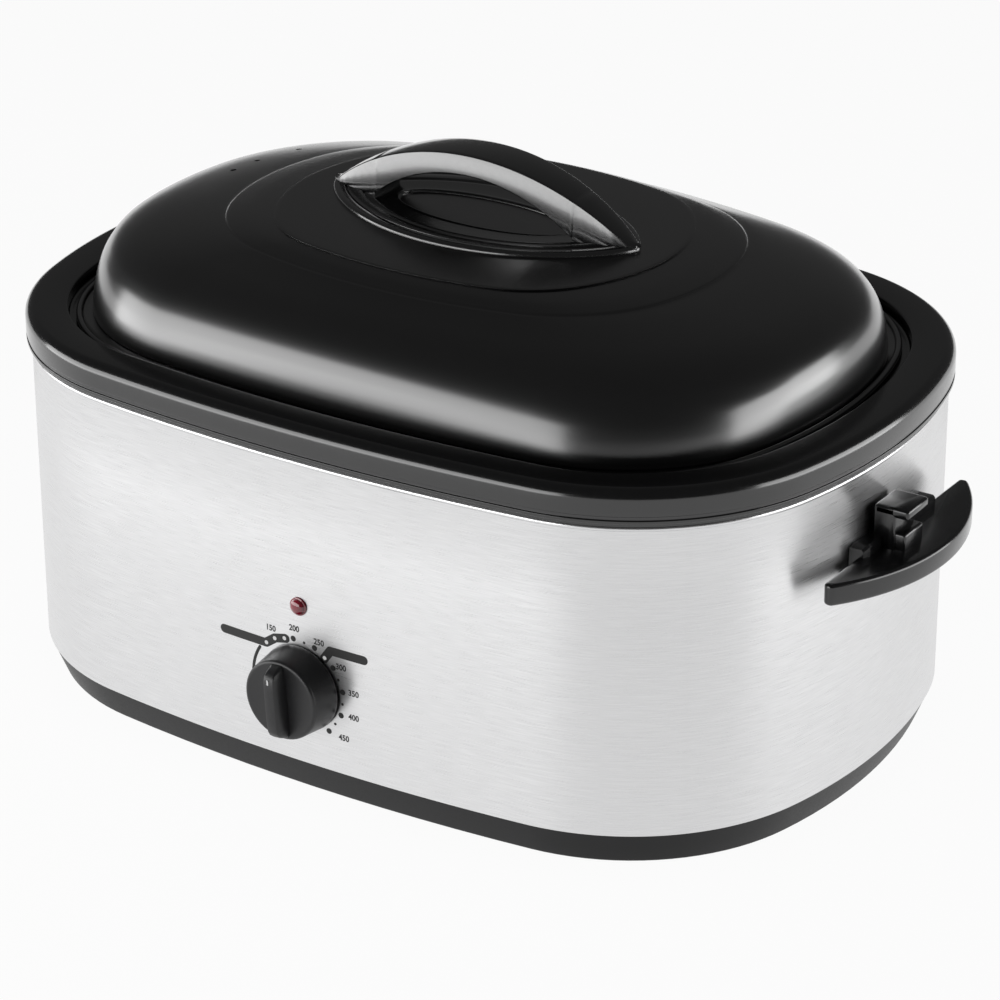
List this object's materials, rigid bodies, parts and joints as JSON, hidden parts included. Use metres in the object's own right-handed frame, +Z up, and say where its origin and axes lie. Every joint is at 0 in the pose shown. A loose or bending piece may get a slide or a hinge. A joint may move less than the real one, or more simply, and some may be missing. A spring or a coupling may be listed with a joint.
{
  "type": "electric roaster oven",
  "caption": "Countertop roaster oven: bowed rectangular brushed steel body, black rim and base, lift-off domed black lid, pan, wire rack, side grips and a front dial.",
  "frame": {"origin": "centre of the body's foot ring on the surface it stands on", "axes": "+Z up, -Y towards the front with the dial, X along the length between the side grips"},
  "size_m": [0.601, 0.4058, 0.328],
  "materials": {
    "tray_plastic": "moulded, satin dark charcoal",
    "foot_rubber": "matte",
    "brushed_wrap": "fine horizontal brushing, clear coat",
    "rim_black": "smooth satin gloss black",
    "bare_aluminium": "drawn, dull",
    "band_steel": "rolled",
    "blanket_fibre": "loose glass fibre",
    "plain_steel": "plated, dull",
    "dark_housing": "moulded phenolic",
    "shaft_steel": "turned, plated",
    "knob_plastic": "moulded, satin gloss",
    "white_mark": "printed line",
    "lamp_red": "translucent dark red lens, unlit",
    "fastener_steel": "zinc plated",
    "handle_plastic": "moulded black, satin gloss",
    "enamel_black": "high gloss black enamel on steel",
    "rack_chrome": "bright plated wire"
  },
  "bodies": {
    "base": {"base_tray": "tray_plastic", "foot_pads": "foot_rubber", "body_wrap": "brushed_wrap", "back_panel": "brushed_wrap", "rim_collar": "rim_black", "cooking_well": "bare_aluminium", "heating_band": "band_steel", "insulation_blanket": "blanket_fibre", "floor_shield": "plain_steel", "well_stands": "plain_steel", "thermostat_body": "dark_housing", "thermostat_bracket": "plain_steel", "lamp_lens": "lamp_red", "lamp_body": "dark_housing", "terminal_block": "dark_housing", "terminal_screws": "fastener_steel", "cord_gland": "tray_plastic", "side_handle_right": "handle_plastic", "side_handle_left": "handle_plastic", "side_screws_right": "fastener_steel", "side_screws_left": "fastener_steel", "tray_screws": "fastener_steel"},
    "knob": {"control_knob": "knob_plastic", "knob_pointer": "white_mark", "thermostat_shaft": "shaft_steel"},
    "pan": {"cooking_pan": "enamel_black"},
    "rack": {"wire_rack": "rack_chrome", "rack_handle_right": "rack_chrome", "rack_handle_left": "rack_chrome"},
    "lid": {"lid_shell": "enamel_black", "lid_handle": "handle_plastic", "lid_handle_screws": "fastener_steel"}
  },
  "joints": [
    {"name": "knob_turn", "type": "hinge", "parent": "base", "child": "knob", "pos_m": [0, -0.1865, 0.068], "axis": [0, 1, 0], "range_deg": [-131, 139]},
    {"name": "pan_lift", "type": "slide", "parent": "base", "child": "pan", "axis": [0, 0, 1], "range_m": [0, 0.2]},
    {"name": "rack_lift", "type": "slide", "parent": "pan", "child": "rack", "axis": [0, 0, 1], "range_m": [0, 0.18]},
    {"name": "lid_lift", "type": "slide", "parent": "rack", "child": "lid", "axis": [0, 0, 1], "range_m": [0, 0.15]}
  ]
}
